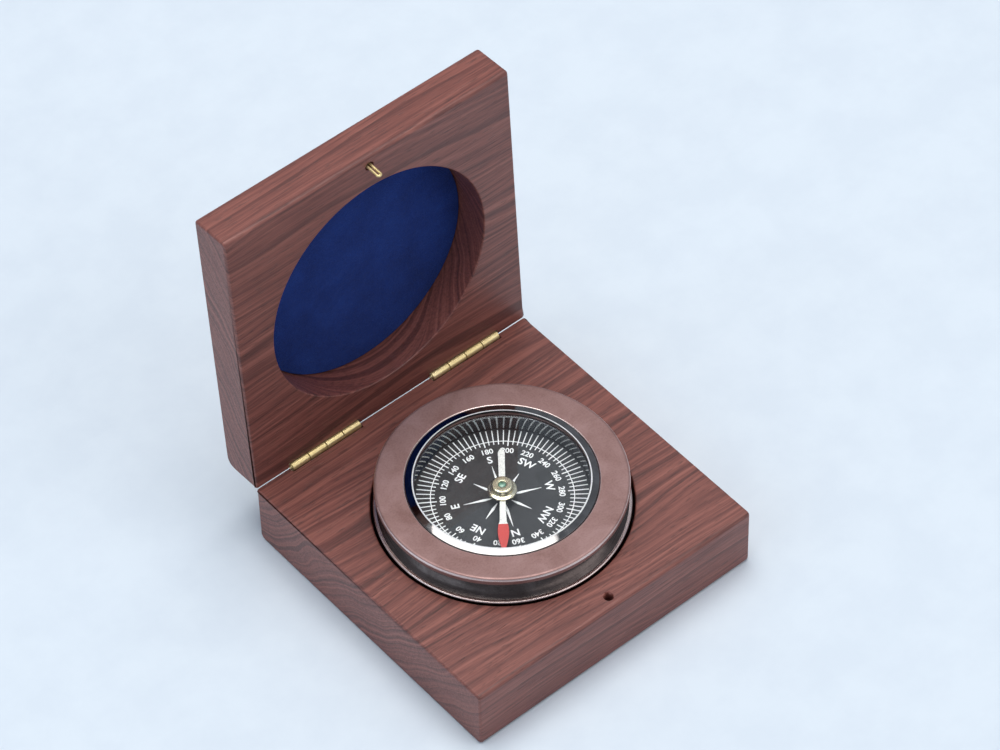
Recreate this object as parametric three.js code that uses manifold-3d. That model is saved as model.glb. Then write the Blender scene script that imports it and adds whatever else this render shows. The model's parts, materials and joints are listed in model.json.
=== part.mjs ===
// Desk compass in a hinged hardwood box, standing open.
// Millimetres. X runs along the hinge line, Y from the front to the hinge, Z up.
// The origin is the centre of the base block's underside.
import * as THREE from "three";
import { mergeVertices } from "three/addons/utils/BufferGeometryUtils.js";
import Module from "manifold-3d";

const wasm = await Module();
wasm.setup();

// ---- Driving dimensions ----

const WIDTH = 101.6;
const DEPTH = 100;
const BASE_HEIGHT = 21.4;
const LID_THICKNESS = 13.6;
const SEAM = 0.2; // between the blocks when the box is shut
const OPEN_ANGLE = THREE.MathUtils.degToRad(92.6);
const JOIN_GAP = 0.1; // between pieces that rest on each other
const EDGE_ROUND = 0.8; // of the blocks' end edges
const CORNER_ROUND = 1.4; // of their long edges

const BASE_RECESS = { radius: 38.2, floor: 6.2 };
const LID_RECESS = { radius: 38.5, depth: 12 };
const FELT_THICKNESS = 0.8;
const FELT_MARGIN = 0.3; // bare ring between a felt and its recess wall

const HINGE = { length: 25.4, axisOut: 0.03, barrel: 1.45, bore: 0.9, pin: 0.8 };
const HINGE_CENTRES = { left: -25.4, right: 27.4 }; // along X, set out by hand
const KNUCKLES = 4;
const KNUCKLE_GAP = 0.15;
const BARREL_CLEARANCE = 0.35;
const NOTCH_SPARE = 0.4; // beyond each end of a barrel
const LEAF = { thickness: 0.8, width: 6.8, screwSpread: 16 };
const SCREW = { head: 1.65, headDepth: 0.75, shank: 0.8, length: 5.2, slot: 0.4 };
const SCREW_HOLE = { radius: 1.1, depth: 6 };

const CATCH = { fromFront: 3.5, wire: 0.4, halfSpread: 0.6, reach: 5, root: 4, lean: 0.09 };
const CATCH_HOLE = { radius: 1.5, lidDepth: 4.6, baseDepth: 7, shift: 0.3 };

// Heights of the compass, from the underside of the box up.
const BODY_BOTTOM = BASE_RECESS.floor + FELT_THICKNESS + 2 * JOIN_GAP;
const SHOULDER = BASE_HEIGHT + 0.2;
const BEZEL_TOP = BASE_HEIGHT + 9.8;
const BEZEL_THICKNESS = 3.8;
const BEZEL_RIM = 2.2; // thickness at the outside, above the hollowed underside
const WEB = { bottom: 20.4, top: 21.9 };
const DIAL_THICKNESS = 0.8;
const CRYSTAL = { radius: 27.9, crown: 25.3, crownRise: 0.6, thickness: 1.5 };
const WELL_RADIUS = 25.9;
const WELL_WALL = 0.45;
const FLANGE_RADIUS = 36.9;
const DRUM_RADIUS = 37.4;
const NECK_RADIUS = 32.6;
const COVER = { radius: 35.5, thickness: 1.4, inset: 0.2 };

const NEEDLE = { north: 21.5, south: 16, halfWidth: 1, tipHalfWidth: 1.7, flareStart: 12.2, thickness: 0.35 };
const NEEDLE_BEARING = THREE.MathUtils.degToRad(141); // from +Y, anticlockwise seen from above
const NEEDLE_ABOVE_DIAL = 2.4;
const PIVOT_RADIUS = 0.6;

const BIG_SIDES = 48;
const SMALL_SIDES = 16;
const SCREW_SIDES = 12;

// ---- Heights and places worked out from them ----

const HALF_DEPTH = DEPTH / 2;
const AXIS = { y: HALF_DEPTH + HINGE.axisOut, z: BASE_HEIGHT + SEAM / 2 };
const CATCH_Y = -HALF_DEPTH + CATCH.fromFront;
const DIAL_TOP = WEB.top + JOIN_GAP + DIAL_THICKNESS;
const BEZEL_BOTTOM = BEZEL_TOP - BEZEL_THICKNESS;
const RIM_BOTTOM = BEZEL_TOP - BEZEL_RIM;
const CRYSTAL_BOTTOM = BEZEL_TOP - CRYSTAL.thickness;
const BODY_TOP = BEZEL_BOTTOM + 1.2;
const LEDGE = { bottom: BODY_TOP + 0.15, top: BODY_TOP + 0.7 };
const NEEDLE_BOTTOM = DIAL_TOP + NEEDLE_ABOVE_DIAL;

// ---- Materials ----

const paint = (color, roughness, metalness) =>
  new THREE.MeshStandardMaterial({ color, roughness, metalness });
const FINISH = {
  rosewood: () => paint("#6e4038", 0.45, 0),
  navyFelt: () => paint("#1c2a5c", 0.95, 0),
  brass: () => paint("#c9a968", 0.35, 1),
  copper: () => paint("#96685f", 0.32, 1),
  steel: () => paint("#a9abad", 0.3, 1),
  blackCard: () => paint("#121316", 0.6, 0),
  darkWall: () => paint("#2a2320", 0.3, 0.6),
  rubber: () => paint("#1b1b1b", 0.8, 0),
  glass: () => paint("#dfe8ea", 0.05, 0),
  needlePaint: () => paint("#d8d8d6", 0.35, 0.2),
  jewel: () => paint("#173a2c", 0.15, 0),
};

// ---- Solids: joining and cutting ----

function solidOf(geometry) {
  const bare = geometry.index ? geometry.toNonIndexed() : geometry.clone();
  bare.deleteAttribute("normal");
  bare.deleteAttribute("uv");
  const merged = mergeVertices(bare, 1e-4);
  return new wasm.Manifold(
    new wasm.Mesh({
      numProp: 3,
      vertProperties: merged.attributes.position.array,
      triVerts: new Uint32Array(merged.index.array),
    }),
  );
}

function geometryOf(solid) {
  const { vertProperties, triVerts, numProp, numVert } = solid.getMesh();
  const positions = new Float32Array(numVert * 3);
  for (let i = 0; i < numVert; i++) {
    positions.set(vertProperties.subarray(i * numProp, i * numProp + 3), i * 3);
  }
  const geometry = new THREE.BufferGeometry();
  geometry.setAttribute("position", new THREE.BufferAttribute(positions, 3));
  geometry.setIndex(new THREE.BufferAttribute(new Uint32Array(triVerts), 1));
  geometry.computeVertexNormals();
  return geometry;
}

function cut(geometry, tools) {
  const solid = tools.reduce((left, tool) => left.subtract(solidOf(tool)), solidOf(geometry));
  return geometryOf(solid);
}

function join(geometries) {
  const [first, ...rest] = geometries.map(solidOf);
  return geometryOf(rest.reduce((sum, solid) => sum.add(solid), first));
}

// ---- Shapes ----

// Turns a profile of [radius, height] points about Z. The profile starts and ends on the axis,
// or goes round a ring section and is closed here.
function turned(profile, sides) {
  const onAxis = profile[0][0] === 0;
  const points = profile.map(([radius, height]) => new THREE.Vector2(radius, height));
  if (THREE.ShapeUtils.area(points) < 0) points.reverse();
  if (!onAxis) points.push(points[0].clone());
  return new THREE.LatheGeometry(points, sides).rotateX(Math.PI / 2);
}

function rod(radius, bottom, top, sides) {
  return turned([[0, bottom], [radius, bottom], [radius, top], [0, top]], sides);
}

// An outline in the Y-Z plane whose corners are [y, z, radius]. Radius 0 leaves a corner sharp.
function roundedOutline(corners) {
  const shape = new THREE.Shape();
  corners.forEach(([y, z, radius], i) => {
    const corner = new THREE.Vector2(y, z);
    const before = corners[(i + corners.length - 1) % corners.length];
    const after = corners[(i + 1) % corners.length];
    const towards = ([py, pz]) =>
      corner.clone().add(new THREE.Vector2(py - y, pz - z).setLength(radius));
    const start = towards(before);
    const end = towards(after);
    if (i === 0) shape.moveTo(start.x, start.y);
    else shape.lineTo(start.x, start.y);
    if (radius > 0) shape.quadraticCurveTo(corner.x, corner.y, end.x, end.y);
  });
  return shape;
}

// A Y-Z outline extruded along X, with its ends rounded over.
function blockAlongX(corners, length) {
  const geometry = new THREE.ExtrudeGeometry(roundedOutline(corners), {
    depth: length - 2 * EDGE_ROUND,
    bevelThickness: EDGE_ROUND,
    bevelSize: EDGE_ROUND,
    bevelOffset: -EDGE_ROUND,
    bevelSegments: 2,
    curveSegments: 3,
  });
  geometry.translate(0, 0, EDGE_ROUND - length / 2);
  const shapeToPart = new THREE.Matrix4().makeBasis(
    new THREE.Vector3(0, 1, 0),
    new THREE.Vector3(0, 0, 1),
    new THREE.Vector3(1, 0, 0),
  );
  return geometry.applyMatrix4(shapeToPart);
}

const box = (sizeX, sizeY, sizeZ, x, y, z) =>
  new THREE.BoxGeometry(sizeX, sizeY, sizeZ).translate(x, y, z);

const alongX = (geometry) => geometry.rotateY(Math.PI / 2);
const alongY = (geometry) => geometry.rotateX(-Math.PI / 2);

// ---- The scene graph ----

const compassBox = new THREE.Group();
const lid = new THREE.Group(); // its origin is the hinge axis, and it is modelled shut
lid.position.set(0, AXIS.y, AXIS.z);
lid.rotation.x = -OPEN_ANGLE;
const compass = new THREE.Group();
const needle = new THREE.Group();
needle.rotation.z = NEEDLE_BEARING;
compass.add(needle);
compassBox.add(lid, compass);

function addPart(group, name, geometry, material) {
  const mesh = new THREE.Mesh(geometry, material);
  mesh.name = name;
  group.add(mesh);
}

// Places in the shut box, as the lid's group holds them.
const inLid = (geometry) => geometry.translate(0, -AXIS.y, -AXIS.z);

// ---- Hinges ----

// The barrel runs along X at the origin. A leaf hangs from it along side: -1 down, +1 up.
const hingeLeafEdge = HINGE.barrel + BARREL_CLEARANCE;
const leafInner = -HINGE.axisOut + JOIN_GAP;
const leafMiddle = leafInner + LEAF.thickness / 2;
const screwHeight = hingeLeafEdge + LEAF.width / 2;
const screwOffsets = [-LEAF.screwSpread / 2, LEAF.screwSpread / 2];

function screwSeat(x, side) {
  const outer = leafInner + LEAF.thickness;
  const profile = [
    [0, leafInner - 1],
    [SCREW.shank + 0.25, leafInner - 1],
    [SCREW.shank + 0.25, leafInner],
    [SCREW.head + 0.15, outer],
    [SCREW.head + 0.15, outer + 1],
    [0, outer + 1],
  ];
  return alongY(turned(profile, SCREW_SIDES)).translate(x, 0, side * screwHeight);
}

function hingeLeaf(side, firstKnuckle) {
  const pitch = HINGE.length / KNUCKLES;
  const knuckleLength = pitch - KNUCKLE_GAP;
  const pieces = [
    box(HINGE.length, LEAF.thickness, LEAF.width, 0, leafMiddle, side * screwHeight),
  ];
  for (let i = firstKnuckle; i < KNUCKLES; i += 2) {
    const x = (i + 0.5) * pitch - HINGE.length / 2;
    const half = knuckleLength / 2;
    const ring = [
      [HINGE.bore, -half],
      [HINGE.barrel, -half],
      [HINGE.barrel, half],
      [HINGE.bore, half],
    ];
    const tabHeight = hingeLeafEdge - HINGE.bore + 0.2;
    const tabMiddle = side * (HINGE.bore + tabHeight / 2 + 0.15);
    pieces.push(alongX(turned(ring, SMALL_SIDES)).translate(x, 0, 0));
    pieces.push(box(knuckleLength, LEAF.thickness, tabHeight, x, leafMiddle, tabMiddle));
  }
  const bore = alongX(rod(HINGE.bore, -HINGE.length, HINGE.length, SMALL_SIDES));
  return cut(join(pieces), [bore, ...screwOffsets.map((x) => screwSeat(x, side))]);
}

function hingePin() {
  const half = HINGE.length / 2;
  const tip = 0.25;
  const profile = [
    [0, -half - tip],
    [HINGE.pin - tip, -half - tip],
    [HINGE.pin, -half],
    [HINGE.pin, half],
    [HINGE.pin - tip, half + tip],
    [0, half + tip],
  ];
  return alongX(turned(profile, SMALL_SIDES));
}

// A slotted countersunk screw whose head looks out along +Y.
function hingeScrew() {
  const face = leafInner + LEAF.thickness;
  const neck = face - SCREW.headDepth;
  const profile = [
    [0, face - SCREW.length],
    [SCREW.shank, face - SCREW.length + 1.2],
    [SCREW.shank, neck],
    [SCREW.head, face],
    [0, face],
  ];
  const slot = box(2 * SCREW.head + 1, 0.7, SCREW.slot, 0, face, 0);
  return cut(alongY(turned(profile, SCREW_SIDES)), [slot]);
}

const hingeSides = Object.entries(HINGE_CENTRES);

for (const [name, x] of hingeSides) {
  const atAxis = (geometry) => geometry.translate(x, AXIS.y, AXIS.z);
  addPart(compassBox, `${name}_hinge_base_leaf`, atAxis(hingeLeaf(-1, 0)), FINISH.brass());
  addPart(compassBox, `${name}_hinge_pin`, atAxis(hingePin()), FINISH.brass());
  addPart(lid, `${name}_hinge_lid_leaf`, hingeLeaf(1, 1).translate(x, 0, 0), FINISH.brass());
  screwOffsets.forEach((offset, i) => {
    const baseScrew = hingeScrew().translate(x + offset, AXIS.y, AXIS.z - screwHeight);
    const lidScrew = hingeScrew().translate(x + offset, 0, screwHeight);
    addPart(compassBox, `${name}_hinge_base_screw_${i + 1}`, baseScrew, FINISH.brass());
    addPart(lid, `${name}_hinge_lid_screw_${i + 1}`, lidScrew, FINISH.brass());
  });
}

// What both hinges take out of a block: a notch round each barrel, and a clearance hole for each
// screw. The screws lie at this height.
function hingeCuts(height) {
  const notchHalf = HINGE.length / 2 + NOTCH_SPARE;
  return hingeSides.flatMap(([, x]) => [
    alongX(rod(hingeLeafEdge, -notchHalf, notchHalf, SMALL_SIDES)).translate(x, AXIS.y, AXIS.z),
    ...screwOffsets.map((offset) =>
      alongY(rod(SCREW_HOLE.radius, -SCREW_HOLE.depth, 2, SCREW_SIDES))
        .translate(x + offset, HALF_DEPTH, height),
    ),
  ]);
}

// ---- Base ----

const baseOutline = [
  [-HALF_DEPTH, 0, CORNER_ROUND],
  [HALF_DEPTH, 0, 2.5],
  [HALF_DEPTH, BASE_HEIGHT, 0],
  [-HALF_DEPTH, BASE_HEIGHT, CORNER_ROUND],
];
const catchSocket = rod(CATCH_HOLE.radius, BASE_HEIGHT - CATCH_HOLE.baseDepth, BASE_HEIGHT + 1, SMALL_SIDES)
  .translate(0, CATCH_Y + CATCH_HOLE.shift, 0);
const baseBlock = cut(blockAlongX(baseOutline, WIDTH), [
  rod(BASE_RECESS.radius, BASE_RECESS.floor, BASE_HEIGHT + 1, BIG_SIDES),
  catchSocket,
  ...hingeCuts(AXIS.z - screwHeight),
]);
addPart(compassBox, "base_block", baseBlock, FINISH.rosewood());

const baseFeltBottom = BASE_RECESS.floor + JOIN_GAP;
const baseFelt = rod(
  BASE_RECESS.radius - FELT_MARGIN,
  baseFeltBottom,
  baseFeltBottom + FELT_THICKNESS,
  BIG_SIDES,
);
addPart(compassBox, "base_recess_felt", baseFelt, FINISH.navyFelt());

// ---- Lid, modelled shut ----

const lidInside = BASE_HEIGHT + SEAM;
const lidOutside = lidInside + LID_THICKNESS;
const lidRecessFloor = lidInside + LID_RECESS.depth;
const lidOutline = [
  [-HALF_DEPTH, lidInside, CORNER_ROUND],
  [HALF_DEPTH, lidInside, 0],
  [HALF_DEPTH, lidOutside, 4],
  [-HALF_DEPTH, lidOutside, CORNER_ROUND],
];
const catchRootHole = rod(CATCH_HOLE.radius, lidInside - 1, lidInside + CATCH_HOLE.lidDepth, SMALL_SIDES)
  .translate(0, CATCH_Y, 0);
const lidBlock = cut(blockAlongX(lidOutline, WIDTH), [
  rod(LID_RECESS.radius, lidInside - 1, lidRecessFloor, BIG_SIDES),
  catchRootHole,
  ...hingeCuts(AXIS.z + screwHeight),
]);
addPart(lid, "lid_block", inLid(lidBlock), FINISH.rosewood());

const lidFelt = rod(
  LID_RECESS.radius - FELT_MARGIN,
  lidRecessFloor - JOIN_GAP - FELT_THICKNESS,
  lidRecessFloor - JOIN_GAP,
  BIG_SIDES,
);
addPart(lid, "lid_felt", inLid(lidFelt), FINISH.navyFelt());

// A hairpin of round wire: two legs and a bend, leaning a little towards the recess.
function hairpin() {
  const { halfSpread, reach, root, wire } = CATCH;
  const bendTop = wire + halfSpread - reach;
  const at = (x, z) => new THREE.Vector3(x, 0, z);
  const route = new THREE.CurvePath();
  route.add(new THREE.LineCurve3(at(-halfSpread, root), at(-halfSpread, bendTop)));
  const bulge = (4 / 3) * halfSpread; // control distance that makes the bend a half circle
  route.add(
    new THREE.CubicBezierCurve3(
      at(-halfSpread, bendTop),
      at(-halfSpread, bendTop - bulge),
      at(halfSpread, bendTop - bulge),
      at(halfSpread, bendTop),
    ),
  );
  route.add(new THREE.LineCurve3(at(halfSpread, bendTop), at(halfSpread, root)));
  const section = new THREE.Shape().absarc(0, 0, wire, 0, 2 * Math.PI);
  const geometry = new THREE.ExtrudeGeometry(section, {
    extrudePath: route,
    steps: 36,
    curveSegments: 8,
  });
  return geometry.rotateX(CATCH.lean).translate(0, CATCH_Y, lidInside);
}
addPart(lid, "catch_hairpin", inLid(hairpin()), FINISH.brass());

// ---- Compass case ----

const bodyProfile = [
  [1.3, WEB.bottom],
  [34.2, WEB.bottom],
  [34.2, BODY_BOTTOM + COVER.inset + COVER.thickness + JOIN_GAP],
  [COVER.radius + 0.3, BODY_BOTTOM + COVER.inset + COVER.thickness + JOIN_GAP],
  [COVER.radius + 0.3, BODY_BOTTOM],
  [DRUM_RADIUS - 0.6, BODY_BOTTOM],
  [DRUM_RADIUS, BODY_BOTTOM + 0.6],
  [DRUM_RADIUS, SHOULDER - 0.5],
  [DRUM_RADIUS - 0.5, SHOULDER],
  [35.2, SHOULDER + 0.7],
  [33.6, SHOULDER + 2],
  [NECK_RADIUS + 0.2, SHOULDER + 3.6],
  [NECK_RADIUS, BEZEL_BOTTOM - JOIN_GAP],
  [NECK_RADIUS - 1, BEZEL_BOTTOM - JOIN_GAP],
  [NECK_RADIUS - 1, BODY_TOP],
  [WELL_RADIUS, BODY_TOP],
  [WELL_RADIUS, WEB.top],
  [1.3, WEB.top],
];
addPart(compass, "compass_body", turned(bodyProfile, BIG_SIDES), FINISH.copper());

const bezelProfile = [
  [NECK_RADIUS - 0.7, BEZEL_BOTTOM],
  [NECK_RADIUS - 0.7, LEDGE.bottom],
  [WELL_RADIUS, LEDGE.bottom],
  [WELL_RADIUS, LEDGE.top],
  [CRYSTAL.radius + 0.3, LEDGE.top],
  [CRYSTAL.radius + 0.3, BEZEL_TOP],
  [FLANGE_RADIUS - 1, BEZEL_TOP],
  [FLANGE_RADIUS - 0.3, BEZEL_TOP - 0.3],
  [FLANGE_RADIUS, BEZEL_TOP - 1],
  [FLANGE_RADIUS, RIM_BOTTOM + 0.4],
  [FLANGE_RADIUS - 0.4, RIM_BOTTOM],
  [NECK_RADIUS + 1, BEZEL_BOTTOM],
];
addPart(compass, "bezel_ring", turned(bezelProfile, BIG_SIDES), FINISH.copper());

const gasketProfile = [
  [WELL_RADIUS + 0.2, LEDGE.top + 0.05],
  [CRYSTAL.radius, LEDGE.top + 0.05],
  [CRYSTAL.radius, CRYSTAL_BOTTOM - 0.1],
  [WELL_RADIUS + 0.2, CRYSTAL_BOTTOM - 0.1],
];
addPart(compass, "crystal_gasket", turned(gasketProfile, BIG_SIDES), FINISH.rubber());

const crystalProfile = [
  [0, CRYSTAL_BOTTOM],
  [CRYSTAL.radius, CRYSTAL_BOTTOM],
  [CRYSTAL.radius, BEZEL_TOP],
  [CRYSTAL.crown, BEZEL_TOP + CRYSTAL.crownRise],
  [0, BEZEL_TOP + CRYSTAL.crownRise],
];
addPart(compass, "glass_crystal", turned(crystalProfile, BIG_SIDES), FINISH.glass());

const wellWallProfile = [
  [WELL_RADIUS - 0.15 - WELL_WALL, DIAL_TOP + JOIN_GAP],
  [WELL_RADIUS - 0.15, DIAL_TOP + JOIN_GAP],
  [WELL_RADIUS - 0.15, BODY_TOP],
  [WELL_RADIUS - 0.15 - WELL_WALL, BODY_TOP],
];
addPart(compass, "spacer_ring", turned(wellWallProfile, BIG_SIDES), FINISH.darkWall());

const dialProfile = [
  [1.3, WEB.top + JOIN_GAP],
  [WELL_RADIUS - 0.15, WEB.top + JOIN_GAP],
  [WELL_RADIUS - 0.15, DIAL_TOP],
  [1.3, DIAL_TOP],
];
addPart(compass, "dial_card", turned(dialProfile, BIG_SIDES), FINISH.blackCard());

const coverProfile = [
  [0, BODY_BOTTOM + COVER.inset],
  [COVER.radius - 0.3, BODY_BOTTOM + COVER.inset],
  [COVER.radius, BODY_BOTTOM + COVER.inset + 0.3],
  [COVER.radius, BODY_BOTTOM + COVER.inset + COVER.thickness],
  [0, BODY_BOTTOM + COVER.inset + COVER.thickness],
];
addPart(compass, "bottom_cover", turned(coverProfile, BIG_SIDES), FINISH.copper());

// ---- Needle and its pivot ----

const hubBottom = NEEDLE_BOTTOM - 0.5;
const hubFlange = NEEDLE_BOTTOM + NEEDLE.thickness + JOIN_GAP;
const hubTop = hubFlange + 2.6;
const jewelBottom = hubTop - 1.1;
const pivotTip = jewelBottom + 0.15;

const pivotProfile = [
  [0, WEB.bottom - 1],
  [1.1, WEB.bottom - 1],
  [1.1, DIAL_TOP + JOIN_GAP],
  [2, DIAL_TOP + JOIN_GAP],
  [2, DIAL_TOP + 0.7],
  [PIVOT_RADIUS, DIAL_TOP + 1],
  [PIVOT_RADIUS, pivotTip - 1.2],
  [0, pivotTip],
];
addPart(compass, "pivot_pin", turned(pivotProfile, SMALL_SIDES), FINISH.steel());

// The blade's outline from its south point to its north end, along +Y.
function needleBlade() {
  const { north, south, halfWidth, tipHalfWidth, flareStart, thickness } = NEEDLE;
  const rightEdge = [
    [0, -south],
    [halfWidth, -south + 3],
    [halfWidth, flareStart],
    [tipHalfWidth, flareStart + 0.8],
    [0.6, north],
  ];
  const leftEdge = rightEdge.slice(1).reverse().map(([x, y]) => [-x, y]);
  const outline = [...rightEdge, ...leftEdge].map(([x, y]) => new THREE.Vector2(x, y));
  const eye = 2.9;
  const boss = new THREE.ExtrudeGeometry(
    new THREE.Shape().absarc(0, 0, eye, 0, 2 * Math.PI),
    { depth: thickness, bevelEnabled: false, curveSegments: 10 },
  );
  const blade = new THREE.ExtrudeGeometry(new THREE.Shape(outline), {
    depth: thickness,
    bevelEnabled: false,
  });
  const hole = rod(eye - 0.8, -1, 1 + thickness, SMALL_SIDES);
  return cut(join([blade, boss]), [hole]).translate(0, 0, NEEDLE_BOTTOM);
}
addPart(needle, "needle_blade", needleBlade(), FINISH.needlePaint());

const hubProfile = [
  [1.2, hubBottom],
  [1.85, hubBottom],
  [1.85, hubFlange],
  [4.3, hubFlange],
  [4.3, hubFlange + 0.5],
  [3.2, hubFlange + 0.8],
  [3.2, hubTop - 0.5],
  [2.7, hubTop],
  [1.2, hubTop],
];
addPart(needle, "needle_cap", turned(hubProfile, SMALL_SIDES), FINISH.brass());

const jewelProfile = [
  [0, jewelBottom + 0.4],
  [1.05, jewelBottom],
  [1.05, hubTop - 0.3],
  [0.6, hubTop],
  [0, hubTop + 0.1],
];
addPart(needle, "bearing_jewel", turned(jewelProfile, SMALL_SIDES), FINISH.jewel());

export default compassBox;
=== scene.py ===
"""Looks of the boxed desk compass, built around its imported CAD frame.

Blender works in metres with Z up. Shapes below are written in millimetres, and MM turns them into metres.
"""

import json
import math

import bmesh
import bpy
from mathutils import Matrix, Vector, noise


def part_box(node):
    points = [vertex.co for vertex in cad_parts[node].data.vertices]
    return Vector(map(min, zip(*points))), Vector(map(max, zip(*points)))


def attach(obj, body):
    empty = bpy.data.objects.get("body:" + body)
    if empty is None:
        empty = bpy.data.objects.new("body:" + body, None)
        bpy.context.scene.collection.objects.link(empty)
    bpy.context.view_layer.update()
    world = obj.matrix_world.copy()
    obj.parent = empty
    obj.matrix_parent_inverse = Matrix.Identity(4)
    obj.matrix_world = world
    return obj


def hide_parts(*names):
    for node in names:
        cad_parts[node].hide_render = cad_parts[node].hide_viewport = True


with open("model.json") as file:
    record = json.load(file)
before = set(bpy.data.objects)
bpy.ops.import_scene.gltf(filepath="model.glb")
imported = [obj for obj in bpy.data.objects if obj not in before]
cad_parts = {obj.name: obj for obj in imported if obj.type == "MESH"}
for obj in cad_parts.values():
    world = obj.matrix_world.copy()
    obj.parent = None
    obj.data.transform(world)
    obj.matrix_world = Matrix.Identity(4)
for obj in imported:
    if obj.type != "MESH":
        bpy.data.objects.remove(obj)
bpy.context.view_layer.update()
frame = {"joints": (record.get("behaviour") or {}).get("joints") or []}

# ---- Sizes ----

MM = 0.001
FINE_SIDES = 180  # round a wide turned piece
SMALL_SIDES = 48  # round a pin, knuckle or screw
SMOOTH_ANGLE = math.radians(32)

joints = {j["name"]: j for j in frame["joints"]}
HINGE_AXIS = Vector(joints["lid_hinge"]["pos_m"])
OPEN_ANGLE = math.radians(joints["lid_hinge"]["range_deg"][1])
# Lid pieces are modelled shut, and this swings them open to the rest pose.
LID_OPEN = (
    Matrix.Translation(HINGE_AXIS)
    @ Matrix.Rotation(-OPEN_ANGLE, 4, "X")
    @ Matrix.Translation(-HINGE_AXIS)
)
AXIS_Y, AXIS_Z = HINGE_AXIS.y / MM, HINGE_AXIS.z / MM

base_low, base_high = (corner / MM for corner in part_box("base_block"))
WIDTH = base_high.x - base_low.x
HALF_DEPTH = base_high.y
BASE_TOP = base_high.z
SEAM = 2 * (AXIS_Z - BASE_TOP)
LID_THICKNESS = 13.6
LID_INSIDE = BASE_TOP + SEAM
LID_OUTSIDE = LID_INSIDE + LID_THICKNESS
END_ROUND = 0.8
LONG_ROUND = 1.4
BACK_ROUND = 0.15  # of the edges along the hinge line

BASE_RECESS_RADIUS = 38.2
LID_RECESS_RADIUS = 38.5
LID_RECESS_DEPTH = 12.0
RECESS_LIP = 0.45
FELT = 0.8

body_low, body_high = (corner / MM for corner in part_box("compass_body"))
bezel_low, bezel_high = (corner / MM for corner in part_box("bezel_ring"))
glass_low, glass_high = (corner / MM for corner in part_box("glass_crystal"))
BODY_BOTTOM, BODY_TOP = body_low.z, body_high.z
BEZEL_BOTTOM, BEZEL_TOP = bezel_low.z, bezel_high.z
DIAL_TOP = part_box("dial_card")[1].z / MM
DRUM_RADIUS = body_high.x
FLANGE_RADIUS = bezel_high.x
GLASS_RADIUS = glass_high.x
WELL_RADIUS = 25.9
NECK_RADIUS = 32.6

DIAL_NORTH = math.radians(-114.9)  # the dial's north, anticlockwise from +X
NEEDLE_NORTH = math.radians(-129)


# ---- Node materials ----


def node(tree, kind, inputs=None, **settings):
    """Adds a shader node. An input is given a value, or the socket that feeds it."""
    made = tree.nodes.new("ShaderNode" + kind)
    for key, value in settings.items():
        setattr(made, key, value)
    for key, value in (inputs or {}).items():
        if isinstance(value, bpy.types.NodeSocket):
            tree.links.new(value, made.inputs[key])
        else:
            made.inputs[key].default_value = value
    return made


def new_material(name, **inputs):
    """A Principled material. Its inputs are given as words with underscores for spaces."""
    material = bpy.data.materials.new(name)
    material.use_nodes = True
    shader = material.node_tree.nodes["Principled BSDF"]
    for key, value in inputs.items():
        shader.inputs[key.replace("_", " ")].default_value = value
    return material, material.node_tree, shader


def object_mm(tree, stretch=(1, 1, 1)):
    """Object coordinates in millimetres, each divided by its stretch."""
    spot = node(tree, "TexCoord").outputs["Object"]
    scale = [1 / (MM * s) for s in stretch]
    return node(tree, "Mapping", {"Vector": spot, "Scale": scale}).outputs["Vector"]


def fractal(tree, vector, scale, detail=4.0, roughness=0.55, distortion=0.0):
    inputs = {
        "Vector": vector,
        "Scale": scale,
        "Detail": detail,
        "Roughness": roughness,
        "Distortion": distortion,
    }
    return node(tree, "TexNoise", inputs).outputs["Fac"]


def math_node(tree, operation, a, b):
    return node(tree, "Math", {0: a, 1: b}, operation=operation).outputs[0]


def spread(tree, value, low, high, to_low=0.0, to_high=1.0):
    """Stretches value from low..high to to_low..to_high, and clamps it there."""
    inputs = {"Value": value, "From Min": low, "From Max": high, "To Min": to_low, "To Max": to_high}
    return node(tree, "MapRange", inputs).outputs["Result"]


def ramp(tree, factor, stops):
    made = node(tree, "ValToRGB", {"Fac": factor})
    elements = made.color_ramp.elements
    while len(elements) < len(stops):
        elements.new(0.5)
    for element, (position, colour) in zip(elements, stops):
        element.position = position
        element.color = (*colour, 1)
    return made.outputs["Color"]


def mix(tree, factor, a, b, blend="MIX"):
    made = node(tree, "Mix", data_type="RGBA", blend_type=blend)
    for socket, value in zip((made.inputs[0], made.inputs[6], made.inputs[7]), (factor, a, b)):
        if isinstance(value, bpy.types.NodeSocket):
            tree.links.new(value, socket)
        else:
            socket.default_value = (*value, 1) if isinstance(value, tuple) else value
    return made.outputs[2]


def bump(tree, shader, height, distance, strength):
    inputs = {"Height": height, "Distance": distance * MM, "Strength": strength}
    tree.links.new(node(tree, "Bump", inputs).outputs["Normal"], shader.inputs["Normal"])


def scaled(tree, vector, factors):
    return node(tree, "VectorMath", {0: vector, 1: factors}, operation="MULTIPLY").outputs[0]


def weighted(tree, *parts):
    """The sum of (value, weight) pairs."""
    total = None
    for value, weight in parts:
        part = math_node(tree, "MULTIPLY", value, weight)
        total = part if total is None else math_node(tree, "ADD", total, part)
    return total


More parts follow.
